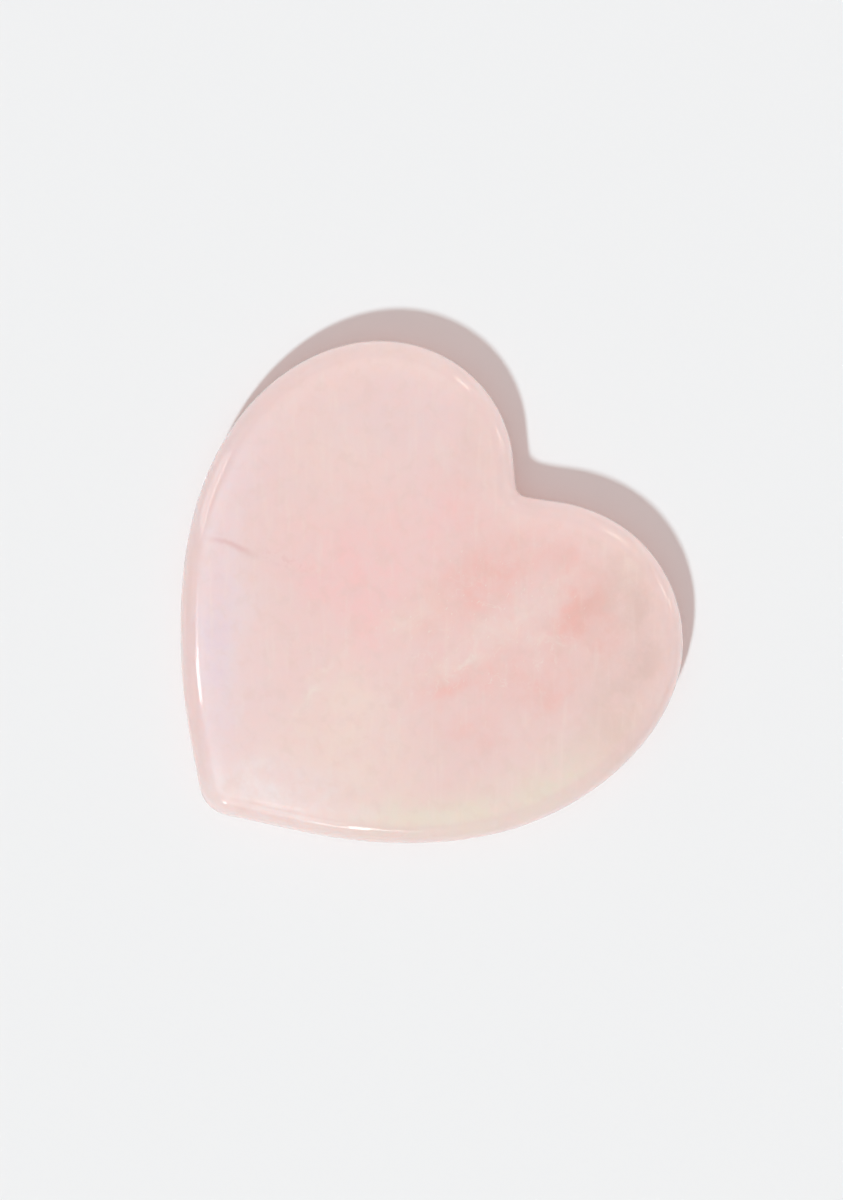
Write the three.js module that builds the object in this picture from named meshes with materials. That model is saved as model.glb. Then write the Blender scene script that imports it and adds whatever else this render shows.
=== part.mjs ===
// A heart-shaped gua sha scraper, cut from one piece of rose quartz and polished all over.
// Millimetres, +Z up. The stone lies on its lower face, tip toward -Y and hollow toward +Y.

import * as THREE from 'three';

const WIDTH = 80; // across the two lobes
const LENGTH = 75.6; // from the tip to the tops of the lobes
const THICKNESS = 7;
const RIM_WIDTH = 9; // from the edge in to the start of the flat face
const TIP_RIM_WIDTH = 3.6; // the same, at the tip
const TIP_REACH = 10; // how far from the tip the rim is narrowed

const RIM_STEPS = 7; // facets from the edge to the flat face
const TURN_STEP = 6; // most degrees that one facet turns along the outline
const LENGTH_STEP = 3; // longest facet along the outline

const PALE_PINK = 0xeecfc8;
const POLISHED = 0.12;

const HALF_WIDTH = WIDTH / 2;
const HALF_LENGTH = LENGTH / 2;
const HALF_THICKNESS = THICKNESS / 2;
const TIP = { x: -1, y: -HALF_LENGTH };

// The outline from above, anticlockwise from the tip: x, y, and the heading of the edge in degrees.
// The stone is cut by hand, so its tip and hollow lie a little to the left of the middle.
const OUTLINE = [
  [TIP.x, TIP.y, 0], // lowest point of the rounded tip
  [1.9, -36.9, 33],
  [20.9, -24, 41], // right flank
  [36.5, -4, 67],
  [HALF_WIDTH, 12.5, 90], // widest point of the right lobe
  [33.8, 30.7, 132],
  [17.7, HALF_LENGTH, 180], // top of the right lobe
  [6.1, 34.4, 211],
  [0.7, 30.6, 213],
  [-0.8, 30, 180], // bottom of the hollow
  [-2.4, 30.8, 142],
  [-7, 34.5, 147],
  [-17.8, HALF_LENGTH, 180], // top of the left lobe
  [-33.4, 30.8, 228],
  [-HALF_WIDTH, 12.4, 270], // widest point of the left lobe
  [-36.1, -4, 295],
  [-20.8, -24, 316], // left flank
  [-4, -36.9, 326],
];

const radians = THREE.MathUtils.degToRad;

function direction(heading) {
  return new THREE.Vector2(Math.cos(radians(heading)), Math.sin(radians(heading)));
}

// Points along one stretch of the outline, each with its inward direction. The length of the
// handles makes a stretch between two points of a circle follow that circle.
function stretch([x0, y0, heading0], [x1, y1, heading1]) {
  const start = new THREE.Vector2(x0, y0);
  const end = new THREE.Vector2(x1, y1);
  const chord = start.distanceTo(end);
  const turn = THREE.MathUtils.euclideanModulo(heading1 - heading0 + 180, 360) - 180;
  const handle = chord / (3 * Math.cos(radians(turn / 4)) ** 2);
  const curve = new THREE.CubicBezierCurve(
    start,
    start.clone().addScaledVector(direction(heading0), handle),
    end.clone().addScaledVector(direction(heading1), -handle),
    end,
  );
  const steps = Math.ceil(Math.max(Math.abs(turn) / TURN_STEP, chord / LENGTH_STEP));
  return Array.from({ length: steps }, (_, i) => {
    const tangent = curve.getTangent(i / steps);
    return { at: curve.getPoint(i / steps), inward: new THREE.Vector2(-tangent.y, tangent.x) };
  });
}

// Width of the rim at a point of the outline: even all round, but narrower at the tip.
function rimWidth({ x, y }) {
  const fromTip = Math.hypot(x - TIP.x, y - TIP.y);
  return RIM_WIDTH - (RIM_WIDTH - TIP_RIM_WIDTH) * Math.exp(-((fromTip / TIP_REACH) ** 2));
}

// One level ring of the rim. The rise is -90 degrees at the lower face, 0 at the edge and 90 at the
// upper face. The edge is a full round, and its shoulder fades into the flat face with no corner.
function ring(outline, rise) {
  const z = HALF_THICKNESS * (1 + Math.sin(radians(rise)));
  const reach = Math.max(Math.cos(radians(rise)), 0);
  return outline.map(({ at, inward }) => {
    const width = rimWidth(at);
    const inset = width * (1 - reach ** (HALF_THICKNESS / width));
    return new THREE.Vector3(at.x + inward.x * inset, at.y + inward.y * inset, z);
  });
}

// The closed skin of the stone: bands between neighbouring rings, and a flat face at each end.
function stoneGeometry() {
  const outline = OUTLINE.flatMap((from, i) => stretch(from, OUTLINE[(i + 1) % OUTLINE.length]));
  const rings = [];
  for (let step = -RIM_STEPS; step <= RIM_STEPS; step += 1) {
    rings.push(ring(outline, (90 * step) / RIM_STEPS));
  }
  const count = outline.length;
  const triangles = [];
  for (let row = 0; row < rings.length - 1; row += 1) {
    for (let i = 0; i < count; i += 1) {
      const a = row * count + i;
      const b = row * count + ((i + 1) % count);
      triangles.push([a, b, b + count], [a, b + count, a + count]);
    }
  }
  const top = (rings.length - 1) * count;
  for (const [a, b, c] of THREE.ShapeUtils.triangulateShape(rings[0], [])) {
    triangles.push([a, c, b], [top + a, top + b, top + c]);
  }
  const geometry = new THREE.BufferGeometry().setFromPoints(rings.flat());
  geometry.setIndex(triangles.flat());
  geometry.computeVertexNormals();
  return geometry;
}

const stone = new THREE.Mesh(
  stoneGeometry(),
  new THREE.MeshStandardMaterial({ color: PALE_PINK, roughness: POLISHED, metalness: 0 }),
);
stone.name = 'scraper_stone';

const scraper = new THREE.Group();
scraper.name = 'gua_sha_scraper';
scraper.add(stone);

export default scraper;
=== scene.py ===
import math

import bpy
import numpy as np
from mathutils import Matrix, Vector, noise

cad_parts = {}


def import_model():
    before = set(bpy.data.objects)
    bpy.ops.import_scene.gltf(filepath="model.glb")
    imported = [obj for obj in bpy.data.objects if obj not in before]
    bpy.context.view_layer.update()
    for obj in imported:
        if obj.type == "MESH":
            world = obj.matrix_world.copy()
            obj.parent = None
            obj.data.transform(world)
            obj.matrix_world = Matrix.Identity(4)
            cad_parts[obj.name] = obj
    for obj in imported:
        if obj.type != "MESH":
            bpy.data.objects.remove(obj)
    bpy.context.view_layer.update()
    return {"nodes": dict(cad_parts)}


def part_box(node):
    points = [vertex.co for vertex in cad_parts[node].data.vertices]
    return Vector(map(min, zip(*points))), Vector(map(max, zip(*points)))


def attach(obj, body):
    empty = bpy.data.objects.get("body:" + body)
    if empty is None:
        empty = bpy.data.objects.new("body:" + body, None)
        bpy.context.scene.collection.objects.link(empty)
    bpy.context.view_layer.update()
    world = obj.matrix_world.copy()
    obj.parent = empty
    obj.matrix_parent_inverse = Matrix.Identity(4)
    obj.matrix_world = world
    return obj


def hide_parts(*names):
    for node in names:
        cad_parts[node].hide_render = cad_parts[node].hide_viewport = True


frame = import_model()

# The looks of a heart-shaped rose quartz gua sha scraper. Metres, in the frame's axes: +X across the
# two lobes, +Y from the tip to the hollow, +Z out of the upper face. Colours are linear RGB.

NODE = "scraper_stone"
MM = 0.001

# ---------------------------------------------------------------------------------------- the stone

RIM_WIDTH = 9 * MM
TIP_RIM_WIDTH = 3.6 * MM
TIP_REACH = 10 * MM
DIRECTION_BLUR = 2.5 * MM  # stretch of outline over which the inward direction is averaged
OUTLINE_STEPS = 6  # fine points for each facet of the CAD outline
RIM_STEPS = 22  # fine rings from the edge to the flat face
FACE_STEPS = 16  # rings across each face, from its border to its middle
POLISH_DEPTH = 0.05 * MM  # how far the hand polish dips below the true surface
POLISH_LENGTH = 14 * MM  # size of the dips
LEVEL_TOLERANCE = 0.01 * MM  # vertices this close to half height are the outline's


def cad_outline():
    """The CAD stone's outline: its vertices at half height, anticlockwise seen from above."""
    low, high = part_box(NODE)
    middle = (low.z + high.z) / 2
    ring = {
        (round(v.co.x, 7), round(v.co.y, 7))
        for v in frame["nodes"][NODE].data.vertices
        if abs(v.co.z - middle) < LEVEL_TOLERANCE
    }
    return np.array(sorted(ring, key=lambda p: math.atan2(p[1], p[0])))


def closed_spline(points, steps):
    """Points and unit tangents of the smooth closed curve through `points`, `steps` for each gap."""
    count = len(points)
    following = np.roll(points, -1, axis=0)
    gaps = np.linalg.norm(following - points, axis=1)
    before = np.roll(gaps, 1)
    slopes = (following - points) / gaps[:, None]
    system = np.zeros((count, count))
    for i in range(count):
        system[i, i - 1] = gaps[i]
        system[i, i] = 2 * (gaps[i] + before[i])
        system[i, (i + 1) % count] = before[i]
    known = 3 * (gaps[:, None] * np.roll(slopes, 1, axis=0) + before[:, None] * slopes)
    start = np.linalg.solve(system, known)
    end = np.roll(start, -1, axis=0)
    t = (np.arange(steps) / steps)[None, :, None]
    h = gaps[:, None, None]
    p0, p1, m0, m1 = (a[:, None, :] for a in (points, following, start, end))
    place = (
        (2 * t**3 - 3 * t**2 + 1) * p0
        + (t**3 - 2 * t**2 + t) * h * m0
        + (3 * t**2 - 2 * t**3) * p1
        + (t**3 - t**2) * h * m1
    )
    slope = (
        (6 * t**2 - 6 * t) * (p0 - p1) / h
        + (3 * t**2 - 4 * t + 1) * m0
        + (3 * t**2 - 2 * t) * m1
    )
    slope /= np.linalg.norm(slope, axis=2, keepdims=True)
    return place.reshape(-1, 2), slope.reshape(-1, 2)


def smoothed(directions, outline):
    """Unit directions averaged along the outline, so that inset rings don't fold at the tight tip."""
    steps = np.linalg.norm(np.roll(outline, -1, axis=0) - outline, axis=1)
    along = np.concatenate([[0], np.cumsum(steps)])
    length, along = along[-1], along[:-1]
    apart = np.abs(along[:, None] - along[None, :])
    apart = np.minimum(apart, length - apart)
    weights = np.exp(-((apart / DIRECTION_BLUR) ** 2)) * steps[None, :]
    mixed = weights @ directions
    return mixed / np.linalg.norm(mixed, axis=1, keepdims=True)


def stone_rings():
    """Level rings from the middle of the lower face, round the rim, to the middle of the upper one."""
    low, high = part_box(NODE)
    half = (high.z - low.z) / 2
    outline, tangent = closed_spline(cad_outline(), OUTLINE_STEPS)
    inward = smoothed(np.stack([-tangent[:, 1], tangent[:, 0]], axis=1), outline)
    tip = outline[outline[:, 1].argmin()]
    from_tip = np.linalg.norm(outline - tip, axis=1)
    width = RIM_WIDTH - (RIM_WIDTH - TIP_RIM_WIDTH) * np.exp(-((from_tip / TIP_REACH) ** 2))

    def level(flat, z):
        return np.column_stack([flat, np.full(len(flat), z)])

    def rim(rise):
        reach = max(math.cos(rise), 0)
        inset = width * (1 - reach ** (half / width))
        return level(outline + inward * inset[:, None], low.z + half * (1 + math.sin(rise)))

    rises = np.linspace(-math.pi / 2, math.pi / 2, 2 * RIM_STEPS + 1)
    border = rim(rises[0])[:, :2]
    middle = border.mean(axis=0)
    scales = np.linspace(0, 1, FACE_STEPS, endpoint=False)[1:]
    spread = [middle + (border - middle) * s for s in scales]
    rings = [level(flat, low.z) for flat in spread]
    rings += [rim(rise) for rise in rises]
    rings += [level(flat, high.z) for flat in reversed(spread)]
    return rings, level(middle[None], low.z)[0], level(middle[None], high.z)[0]


def polish(mesh):
    """Sinks the surface by a few hundredths of a millimetre here and there, as hand polishing does."""
    moves = [
        vertex.normal * POLISH_DEPTH * (0.5 + 0.5 * noise.noise(vertex.co / POLISH_LENGTH))
        for vertex in mesh.vertices
    ]
    for vertex, move in zip(mesh.vertices, moves):
        vertex.co -= move


def stone_piece():
    """The stone as one fine closed mesh, which stands for the CAD node."""
    rings, lower_middle, upper_middle = stone_rings()
    count = len(rings[0])
    vertices = np.concatenate(rings + [[lower_middle], [upper_middle]])
    last = (len(rings) - 1) * count
    lower, upper = len(vertices) - 2, len(vertices) - 1
    faces = []
    for i in range(count):
        j = (i + 1) % count
        faces.append((lower, j, i))
        faces.append((upper, last + i, last + j))
        for row in range(0, last, count):
            faces.append((row + i, row + j, row + j + count, row + i + count))
    mesh = bpy.data.meshes.new("quartz_heart")
    mesh.from_pydata(vertices.tolist(), [], faces)
    mesh.shade_smooth()
    polish(mesh)
    piece = bpy.data.objects.new("quartz_heart", mesh)
    bpy.context.scene.collection.objects.link(piece)
    return piece


# ------------------------------------------------------------------------------------- the material

QUARTZ_IOR = 1.54
SCATTER_RADII = (1.0, 0.7, 0.6)  # red goes furthest through the stone
SCATTER_LENGTH = 8 * MM


class Graph:
    """A short way to add and join the nodes of one material."""

    def __init__(self, name):
        self.material = bpy.data.materials.new(name)
        self.material.use_nodes = True
        self.tree = self.material.node_tree
        self.shader = self.tree.nodes["Principled BSDF"]
        place = self.tree.nodes.new("ShaderNodeTexCoord").outputs["Object"]
        self.millimetres = self.vector_math("MULTIPLY", place, (1 / MM, 1 / MM, 1 / MM))

    def set(self, socket, value):
        if isinstance(value, bpy.types.NodeSocket):
            self.tree.links.new(value, socket)
        else:
            socket.default_value = value

    def vector_math(self, operation, a, b):
        node = self.tree.nodes.new("ShaderNodeVectorMath")
        node.operation = operation
        self.set(node.inputs[0], a)
        self.set(node.inputs[1], b)
        return node.outputs["Value" if operation == "DOT_PRODUCT" else "Vector"]

    def math(self, operation, a, b=0.0):
        node = self.tree.nodes.new("ShaderNodeMath")
        node.operation = operation
        self.set(node.inputs[0], a)
        self.set(node.inputs[1], b)
        return node.outputs[0]

    def total(self, values):
        result = values[0]
        for value in values[1:]:
            result = self.math("ADD", result, value)
        return result

    def product(self, *values):
        result = values[0]
        for value in values[1:]:
            result = self.math("MULTIPLY", result, value)
        return result

    def axes(self, vector):
        node = self.tree.nodes.new("ShaderNodeSeparateXYZ")
        self.set(node.inputs[0], vector)
        return node.outputs

    def ramp(self, value, low, high, to_low=0.0, to_high=1.0):
        """A smooth step from `to_low` to `to_high` as `value` goes from `low` to `high`."""
        node = self.tree.nodes.new("ShaderNodeMapRange")
        node.interpolation_type = "SMOOTHSTEP"
        self.set(node.inputs["Value"], value)
        self.set(node.inputs["From Min"], low)
        self.set(node.inputs["From Max"], high)
        self.set(node.inputs["To Min"], to_low)
        self.set(node.inputs["To Max"], to_high)
        return node.outputs[0]

    def noise(self, place, size, detail=3.0, roughness=0.5):
        node = self.tree.nodes.new("ShaderNodeTexNoise")
        self.set(node.inputs["Vector"], place)
        node.inputs["Scale"].default_value = 1 / size
        node.inputs["Detail"].default_value = detail
        node.inputs["Roughness"].default_value = roughness
        return node.outputs["Fac"]

    def swirled(self, place, size, reach, detail=2.0):
        """`place` pushed about by up to roughly half of `reach`, in swirls of `size`."""
        node = self.tree.nodes.new("ShaderNodeTexNoise")
        self.set(node.inputs["Vector"], place)
        node.inputs["Scale"].default_value = 1 / size
        node.inputs["Detail"].default_value = detail
        push = self.vector_math("SUBTRACT", node.outputs["Color"], (0.5, 0.5, 0.5))
        push = self.vector_math("MULTIPLY", push, (reach, reach, reach))
        return self.vector_math("ADD", place, push)

    def framed(self, place, centre, reach, turn=0.0):
        """`place` as seen from `centre`, turned by `turn` degrees about Z, in units of `reach`."""
        node = self.tree.nodes.new("ShaderNodeMapping")
        node.vector_type = "TEXTURE"
        self.set(node.inputs["Vector"], place)
        node.inputs["Location"].default_value = centre
        node.inputs["Rotation"].default_value = (0, 0, math.radians(turn))
        node.inputs["Scale"].default_value = reach
        return node.outputs[0]

    def blob(self, place, centre, reach, turn=0.0):
        """A soft cloud: 1 at its centre, falling away as a bell curve."""
        local = self.framed(place, centre, reach, turn)
        distance_squared = self.vector_math("DOT_PRODUCT", local, local)
        return self.math("EXPONENT", self.product(distance_squared, -1.0))

    def tint(self, colour, other, amount):
        node = self.tree.nodes.new("ShaderNodeMix")
        node.data_type = "RGBA"
        self.set(node.inputs[0], amount)
        self.set(node.inputs[6], colour)
        self.set(node.inputs[7], other)
        return node.outputs[2]


def srgb(red, green, blue):
    """The linear colour of an 8-bit screen colour."""
    parts = [c / 255 for c in (red, green, blue)]
    linear = [c / 12.92 if c <= 0.04045 else ((c + 0.055) / 1.055) ** 2.4 for c in parts]
    return (*linear, 1)


BODY = srgb(237, 212, 208)
ROSE = srgb(245, 203, 201)
SALMON = srgb(238, 191, 183)
CREAM = srgb(239, 218, 210)
PALE_OLIVE = srgb(230, 220, 208)
MILK = srgb(239, 225, 223)
SMOKE = srgb(221, 198, 188)
LAVENDER = srgb(230, 212, 217)
DUSK = srgb(216, 192, 184)
WHITE_VEIL = srgb(240, 224, 216)
CRACK = srgb(216, 172, 168)
# A mauve painted shade laid on the sloping rim, not the stone's own colour.
PAINTED_RIM_SHADE = srgb(226, 199, 197)
# A pale painted glow along the steep edge, standing for light caught in the rim.
PAINTED_EDGE_GLOW = srgb(244, 219, 217)

# Clouds inside the stone, in millimetres: middle x and y, half-lengths along and across, the turn
# of the first half-length from +X in degrees, and how strong the cloud is.
ROSE_CLOUDS = [
    (-10, 8, 9, 11, 44, 0.6),
    (-14, 1, 5, 7, 44, 0.4),
    (-3, -1.5, 3.5, 5.5, 44, 0.5),
    (-6, 21, 4.5, 5, 44, 0.5),
]
SALMON_CLOUDS = [
    (5, 18, 5, 7, 34, 0.68),
    (3, 8, 6, 4, 60, 0.45),
    (19.3, 23.8, 5.5, 6.5, 44, 0.88),
    (17, 8, 5, 6, 44, 0.45),
    (23, 12, 2.5, 4.5, 36, 0.5),
    (11, 2, 5, 3.5, 70, 0.6),
    (20, -2, 5, 2.5, 34, 0.4),
    (10, 28, 6, 4, 44, 0.35),
]
CREAM_CLOUDS = [
    (2.5, -11, 5, 7, 44, 0.5),
    (1.5, 6, 4, 2.5, 60, 0.4),
    (9, -12, 6, 9, 44, 0.6),
    (1, -20, 7, 5, 74, 0.6),
    (12, -18, 9, 5, 44, 0.5),
    (-24.5, 34.5, 14, 3.5, 30, 0.5),
    (-24, 17, 9, 12, 40, 0.35),
]
OLIVE_CLOUDS = [
    (22, -19, 14, 4.5, 40, 0.75),
    (33, -5, 14, 5, 60, 0.85),
    (36, 8.5, 8, 4, 86, 0.6),
]
MILK_CLOUDS = [
    (4, -30, 13, 5, 34, 0.9),
    (-14, -23, 3, 8, 44, 0.5),
    (-19, -15, 4, 14, 44, 0.45),
]
SMOKE_CLOUDS = [
    (35, 15, 12, 16, 44, 0.25),
    (21, -7, 6, 4, 44, 0.2),
    (33, 19, 6, 9, 44, 0.25),
    (20, 32.5, 4, 7, 44, 0.5),
    (-10, 30, 4, 9, 44, 0.3),
]
# The lavender clouds on the left side are partly the stone's own tone and partly a painted sheen of
# the pale sky on that side.
LAVENDER_CLOUDS_AND_SHEEN = [
    (-35, 2, 6, 12, 36, 0.35),
    (-22, 26, 12, 8, 44, 0.25),
    (-17, -20, 4, 14, 44, 0.8),
]
DUSK_CLOUDS = [
    (28.5, 28.5, 4, 11, 44, 0.45),
    (35.5, 21, 12, 3.5, 110, 0.1),
    (19.5, 24.5, 2, 3.5, 44, 0.2),
]
WHITE_VEILS = [
    (10.5, 8, 10, 1.5, 78, 0.6),
    (1, 5, 5.5, 2, 60, 0.4),
    (-2.5, -14, 6, 1, 95, 0.8),
    (18, 16.5, 6, 1, 32, 0.4),
    (14, 23.5, 5.5, 1.4, 80, 0.3),
    (18.5, 34.5, 1.4, 11, 44, 0.3),
]
CLOUD_DEPTH = 9.0  # half-length of every cloud through the stone

# More places, in millimetres: each is the middle, the half-lengths and the turn of a soft region.
CRACK_LINE = ((-26.7, -6.6, 0), (5.2, 1, 1), 26)
CRACK_TAIL = ((-19, -2.6, 0), (4.5, 0.9, CLOUD_DEPTH), 22)
THREADS_MIDDLE = ((13, 10, CLOUD_DEPTH), (15, 11, CLOUD_DEPTH), 70)
THREADS_TIP = ((-2, -14, CLOUD_DEPTH), (6, 10, CLOUD_DEPTH), 44)
FLECKED_REGION = ((8, 12, CLOUD_DEPTH), (16, 12, CLOUD_DEPTH), 44)
# Where the painted rim shade is weaker, along the rim by the tip.
RIM_SHADE_EASED_AT_TIP = ((7, -33, 0), (17, 6, 20), 32)
DULL_HOLLOW = ((-5.5, 29, 0), (6, 5.5, 20), 0)
DULL_LOBE = ((16.5, 36.3, 0), (6.5, 4, 20), 7)

# Stretched noises: the middle, the size of the grain along each axis, and the turn.
THREAD_GRAIN = ((0, 0, 0), (8, 5, 6), 60)
STREAK_GRAIN = ((0, 0, 0), (1.2, 5, 3), -12)
FIBRE_GRAIN = ((0, 0, 0), (1.1, 8, 4), 44.5)
FLECK_GRAIN = ((0, 0, 0), (0.5, 1, 1), 20)


def clouds(g, place, shapes, breakup):
    """How much of one kind of cloud there is at `place`, broken up by a noise."""
    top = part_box(NODE)[1].z / MM
    parts = [
        g.product(g.blob(place, (x, y, top), (along, across, CLOUD_DEPTH), turn), amount)
        for x, y, along, across, turn, amount in shapes
    ]
    return g.product(g.total(parts), breakup)


def healed_crack(g, place):
    """A short, fine crack near the left edge: a bowed line that ends in a faint dotted tail."""
    along, across, _ = g.axes(g.framed(place, *CRACK_LINE))
    bow = g.product(along, along, 0.7)
    off = g.math("ABSOLUTE", g.total([across, bow]))
    line = g.product(g.ramp(off, 0.8, 0.0), g.ramp(along, -1.0, -0.2), g.ramp(along, 1.0, 0.3))
    dots = g.ramp(g.noise(place, 0.9, detail=1), 0.5, 0.62)
    tail = g.product(g.blob(place, *CRACK_TAIL), dots, 0.8)
    return g.total([line, tail])


def threads(g, place):
    """Thin pale lines, the edges of healed cracks, in the middle of the stone and the right lobe."""
    field = g.noise(g.framed(place, *THREAD_GRAIN), 1, detail=3, roughness=0.6)
    off = g.math("ABSOLUTE", g.math("SUBTRACT", field, 0.5))
    line = g.ramp(off, 0.014, 0.002)
    broken = g.ramp(g.noise(place, 3, detail=2), 0.48, 0.62)
    faint = g.product(g.blob(place, *THREADS_TIP), 0.6)
    return g.product(line, broken, g.total([g.blob(place, *THREADS_MIDDLE), faint]))


def cloudy_colour(g, place, warped):
    """The colour of the quartz with its clouds and veils, each kind laid over the one before, with
    part of a painted sheen in the lavender clouds.
    """
    patchy = g.ramp(g.noise(place, 4, detail=6, roughness=0.65), 0.36, 0.64, 0.6, 1.25)
    streaks = g.framed(warped, *STREAK_GRAIN)
    wispy = g.ramp(g.noise(streaks, 1, detail=4), 0.3, 0.7, 0.3, 1.2)
    colour = BODY
    for other, shapes, breakup in (
        (ROSE, ROSE_CLOUDS, patchy),
        (SALMON, SALMON_CLOUDS, patchy),
        (CREAM, CREAM_CLOUDS, patchy),
        (PALE_OLIVE, OLIVE_CLOUDS, patchy),
        (MILK, MILK_CLOUDS, patchy),
        (SMOKE, SMOKE_CLOUDS, patchy),
        (LAVENDER, LAVENDER_CLOUDS_AND_SHEEN, patchy),
        (DUSK, DUSK_CLOUDS, patchy),
        (WHITE_VEIL, WHITE_VEILS, wispy),
    ):
        colour = g.tint(colour, other, clouds(g, warped, shapes, breakup))
    return colour


def fine_grain(g, place, colour):
    """Fibres, mottle and pale flecks, which are too small to place one by one."""
    fibres = g.noise(g.framed(place, *FIBRE_GRAIN), 1, detail=3)
    mottle = g.noise(g.swirled(place, 3, 3), 2.4, detail=3)
    specks = g.noise(g.framed(place, *FLECK_GRAIN), 1, detail=1)
    flecks = g.product(g.ramp(specks, 0.68, 0.76), g.blob(place, *FLECKED_REGION))
    colour = g.tint(colour, WHITE_VEIL, g.ramp(fibres, 0.5, 0.8, 0, 0.3))
    colour = g.tint(colour, SMOKE, g.ramp(mottle, 0.45, 0.75, 0, 0.2))
    return g.tint(colour, WHITE_VEIL, flecks)


def painted_rim_shade_and_glow(g, place, colour):
    """Painted shade where the rim slopes away, less of it by the tip, and a thin painted glow at the
    edge.
    """
    normal = g.tree.nodes.new("ShaderNodeNewGeometry").outputs["Normal"]
    level = g.math("ABSOLUTE", g.axes(normal)[2])  # 1 on the flat faces, 0 at the very edge
    # Painted shade: a mauve tint where the rim slopes away, eased by the tip.
    away_from_tip = g.math("SUBTRACT", 1.0, g.product(g.blob(place, *RIM_SHADE_EASED_AT_TIP), 0.6))
    shade = g.product(g.ramp(level, 0.999, 0.96, 0, 0.4), away_from_tip)
    colour = g.tint(colour, PAINTED_RIM_SHADE, shade)
    # Painted glow: a pale tint along the steepest part of the edge.
    return g.tint(colour, PAINTED_EDGE_GLOW, g.ramp(level, 0.8, 0.3, 0, 0.9))


def gloss(g, place):
    """The roughness of a hand polish: low, uneven, and duller by the hollow and on the right lobe."""
    even = g.ramp(g.noise(place, 7, detail=4), 0.35, 0.7, 0.03, 0.08)
    dull = g.total([g.blob(place, *DULL_HOLLOW), g.blob(place, *DULL_LOBE)])
    return g.total([even, g.product(dull, 0.18)])


def rose_quartz():
    """Cloudy pink quartz: soft clouds, veils and one healed crack, under a polished surface."""
    g = Graph("rose_quartz")
    place = g.millimetres
    warped = g.swirled(g.swirled(place, 9, 8), 2.2, 2.4, detail=3)
    colour = fine_grain(g, place, cloudy_colour(g, place, warped))
    colour = g.tint(colour, WHITE_VEIL, g.product(threads(g, warped), 0.6))
    crack = healed_crack(g, g.swirled(place, 2.5, 1))
    colour = g.tint(colour, CRACK, g.product(crack, 0.42))
    g.set(g.shader.inputs["Base Color"], painted_rim_shade_and_glow(g, place, colour))
    g.set(g.shader.inputs["Roughness"], gloss(g, place))
    g.shader.inputs["IOR"].default_value = QUARTZ_IOR
    g.shader.inputs["Subsurface Weight"].default_value = 1.0
    g.shader.inputs["Subsurface Radius"].default_value = SCATTER_RADII
    g.shader.inputs["Subsurface Scale"].default_value = SCATTER_LENGTH
    return g.material


# ---------------------------------------------------------------------------------------- the stage

FLOOR_SIZE = 3.0
FLOOR_GREY = (0.8, 0.8, 0.8, 1)
FLOOR_ROUGHNESS = 0.9
CAMERA_TURN = math.radians(44.5)  # the stone lies turned on the floor, as seen by the camera
CAMERA_AIM = Vector((0.0, 7.7 * MM, 0.0))
CAMERA_HEIGHT = 0.513
VIEW_LENGTH = 184.7 * MM  # the camera sees this much of the stone's plane along its long side
SENSOR_WIDTH = 36  # of the camera, in millimetres
NEAREST = 0.01  # nothing closer to the camera than this is drawn
LAMP_DISTANCE = 1.2
STUDIO_GREY = (0.86, 0.87, 0.88, 1)
STUDIO_STRENGTH = 0.58


def floor():
    bpy.ops.mesh.primitive_plane_add(size=FLOOR_SIZE)
    piece = bpy.context.object
    piece.name = "floor"
    material = bpy.data.materials.new("floor_paper")
    material.use_nodes = True
    shader = material.node_tree.nodes["Principled BSDF"]
    shader.inputs["Base Color"].default_value = FLOOR_GREY
    shader.inputs["Roughness"].default_value = FLOOR_ROUGHNESS
    piece.data.materials.append(material)
    return piece


def camera():
    data = bpy.data.cameras.new("camera")
    data.sensor_width = SENSOR_WIDTH
    data.lens = SENSOR_WIDTH * CAMERA_HEIGHT / VIEW_LENGTH
    piece = bpy.data.objects.new("camera", data)
    piece.location = CAMERA_AIM + Vector((0, 0, CAMERA_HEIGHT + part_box(NODE)[1].z / 2))
    piece.rotation_euler = (0, 0, CAMERA_TURN)
    data.clip_start = NEAREST
    bpy.context.scene.collection.objects.link(piece)
    bpy.context.scene.camera = piece


def image_direction(azimuth, elevation):
    """A direction given as the camera sees it: azimuth anticlockwise from the picture's right."""
    turn = CAMERA_TURN + math.radians(azimuth)
    rise = math.radians(elevation)
    level = math.cos(rise)
    return Vector((math.cos(turn) * level, math.sin(turn) * level, math.sin(rise)))


def place_lamp(name, data, azimuth, elevation):
    piece = bpy.data.objects.new(name, data)
    away = image_direction(azimuth, elevation)
    piece.location = CAMERA_AIM + away * LAMP_DISTANCE
    piece.rotation_euler = away.to_track_quat("Z", "Y").to_euler()
    piece.visible_camera = False
    bpy.context.scene.collection.objects.link(piece)
    return piece


def sun(name, azimuth, elevation, spread, strength, colour, lit):
    """A distant lamp that lights one object only, though everything casts its shadow."""
    data = bpy.data.lights.new(name, "SUN")
    data.angle = math.radians(spread)
    data.energy = strength
    data.color = colour
    piece = place_lamp(name, data, azimuth, elevation)
    piece.light_linking.receiver_collection = bpy.data.collections.new(name + "_lights")
    piece.light_linking.receiver_collection.objects.link(lit)
    return piece


def panel(name, azimuth, elevation, width, height, radiance, colour):
    """A bright panel seen only in the polish, `width` by `height` degrees across."""
    data = bpy.data.lights.new(name, "AREA")
    data.shape = "RECTANGLE"
    data.size = 2 * LAMP_DISTANCE * math.tan(math.radians(width / 2))
    data.size_y = 2 * LAMP_DISTANCE * math.tan(math.radians(height / 2))
    data.energy = radiance * math.pi * data.size * data.size_y
    data.color = colour
    place_lamp(name, data, azimuth, elevation).visible_diffuse = False


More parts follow.
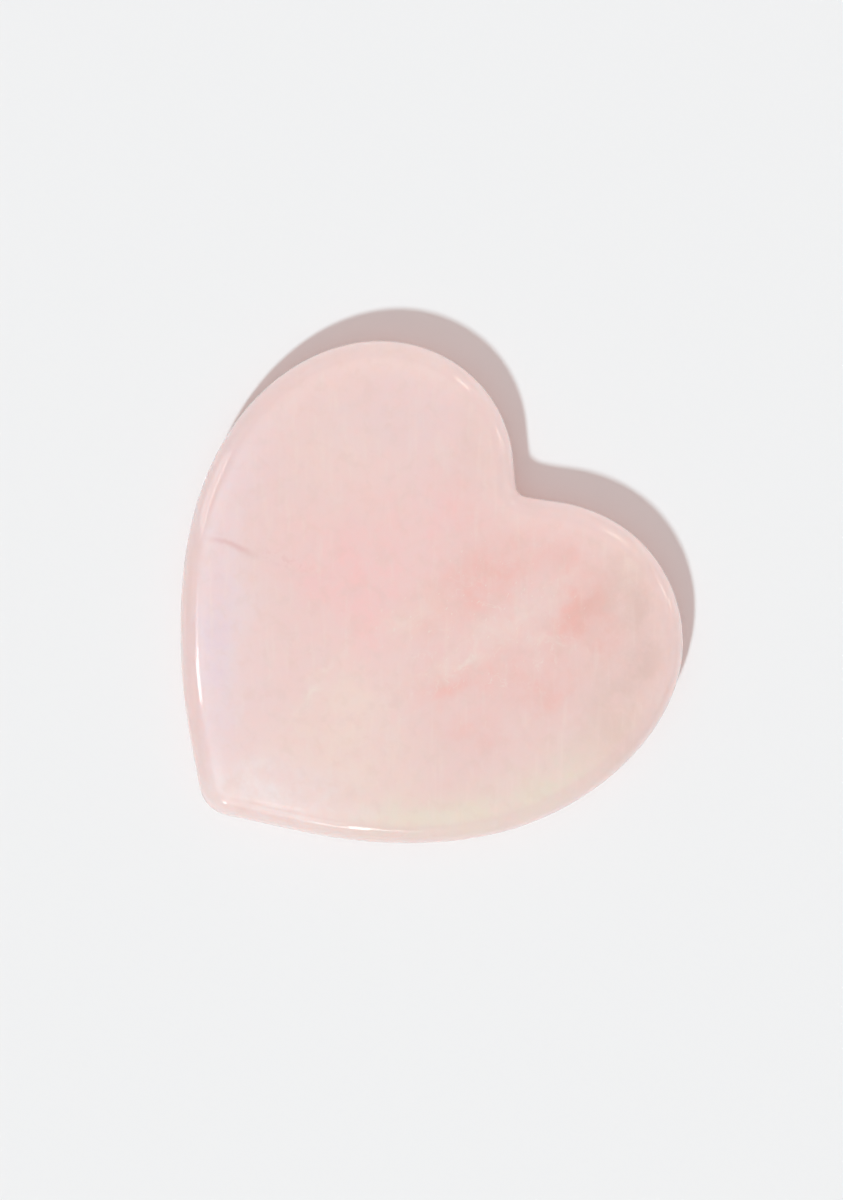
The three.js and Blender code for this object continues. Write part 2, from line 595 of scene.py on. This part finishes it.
SKY_EDGE = 38  # how far from overhead the left sky reaches, in degrees
SKY_COLOUR = (0.35, 0.75, 1.0)
PALE_SKY = (0.8, 0.95, 1.0)
SOFT_SKY = (0.9, 0.95, 1.0)
WHITE = (1.0, 1.0, 1.0)
WARM = (1.0, 0.93, 0.78)

# The left sky's panels lie over each other and fade it in from overhead: where each one starts, in
# degrees from overhead, then its azimuth, width and radiance.
LEFT_SKIES = [
    (4, 190, 30, 0.5),
    (10, 190, 30, 0.5),
    (18, 185, 20, 0.4),
]

# The other panels: name, azimuth and elevation, width and height, radiance, colour.
WINDOWS = [
    ("left_low_sky", 201, 37, 16, 30, 0.45, SKY_COLOUR),
    ("left_window", 187.0, 57, 3.6, 9, 8, WHITE),
    ("left_window_sill", 180.4, 57.5, 3.4, 2.5, 3, WHITE),
    ("upper_left_sky", 158.5, 29, 14, 38, 1.7, SOFT_SKY),
    ("upper_left_frame", 158.5, 46, 12, 4, 3.0, WARM),
    ("tip_window", 247, 38, 6, 10, 9, WHITE),
    ("tip_low_sky", 253.2, 45, 8.6, 22, 1.2, PALE_SKY),
    ("tip_high_sky", 250.4, 64, 3.6, 16, 1.4, PALE_SKY),
    ("front_window", 262.7, 43, 2.2, 12, 9, WHITE),
    ("front_left_sill", 259.2, 39, 2.8, 4, 5, WHITE),
    ("front_right_sill", 266.4, 43, 3.2, 4, 4, WHITE),
    ("front_far_sill", 270, 37, 2.8, 5, 1.5, WHITE),
    ("back_window_0", 52, 40, 6, 14, 3.0, WARM),
    ("back_window_1", 45, 29, 6, 8, 1.2, WARM),
    ("back_window_2", 36, 7, 6, 12, 1.4, WARM),
    ("right_window", 21, 28, 4, 9, 4.5, WARM),
    ("right_window_foot", 15, 14, 4, 12, 2.5, WARM),
]


def windows():
    """All the panels: pale skies show as soft sheens, and windows as thin bright lines."""
    for inner, azimuth, width, radiance in LEFT_SKIES:
        elevation = 90 - (SKY_EDGE + inner) / 2
        panel(f"left_sky_{inner}", azimuth, elevation, width, SKY_EDGE - inner, radiance, SKY_COLOUR)
    for row in WINDOWS:
        panel(*row)


SUN_AZIMUTH = 245
FAR_SIDE = SUN_AZIMUTH - 180
COOL = (0.75, 0.96, 1.0)
PINK = (1.0, 0.41, 0.30)
PALE_PINK = (1.0, 0.94, 0.92)


def light(stone, ground):
    """A hard lamp throws the shadow and a soft one lights the stone; two glows cast no shadow."""
    sun("key_on_floor", SUN_AZIMUTH, 40, spread=4.6, strength=2.6, colour=COOL, lit=ground)
    glow = sun("glow_through_stone", FAR_SIDE, 80, spread=20, strength=0.6, colour=PINK, lit=ground)
    glow.data.use_shadow = False
    key = sun("key_on_stone", SUN_AZIMUTH, 75, spread=15, strength=1.56, colour=WHITE, lit=stone)
    key.visible_glossy = False
    back = sun("glow_of_far_rim", FAR_SIDE, 15, spread=30, strength=0.7, colour=PALE_PINK, lit=stone)
    back.data.use_shadow = False
    back.visible_glossy = False
    windows()


def world():
    scene_world = bpy.data.worlds.new("studio")
    scene_world.use_nodes = True
    background = scene_world.node_tree.nodes["Background"]
    background.inputs["Color"].default_value = STUDIO_GREY
    background.inputs["Strength"].default_value = STUDIO_STRENGTH
    bpy.context.scene.world = scene_world
    bpy.context.scene.view_settings.view_transform = "Standard"


stone = stone_piece()
stone.data.materials.append(rose_quartz())
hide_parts(NODE)
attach(stone, "root")
camera()
world()
light(stone, floor())
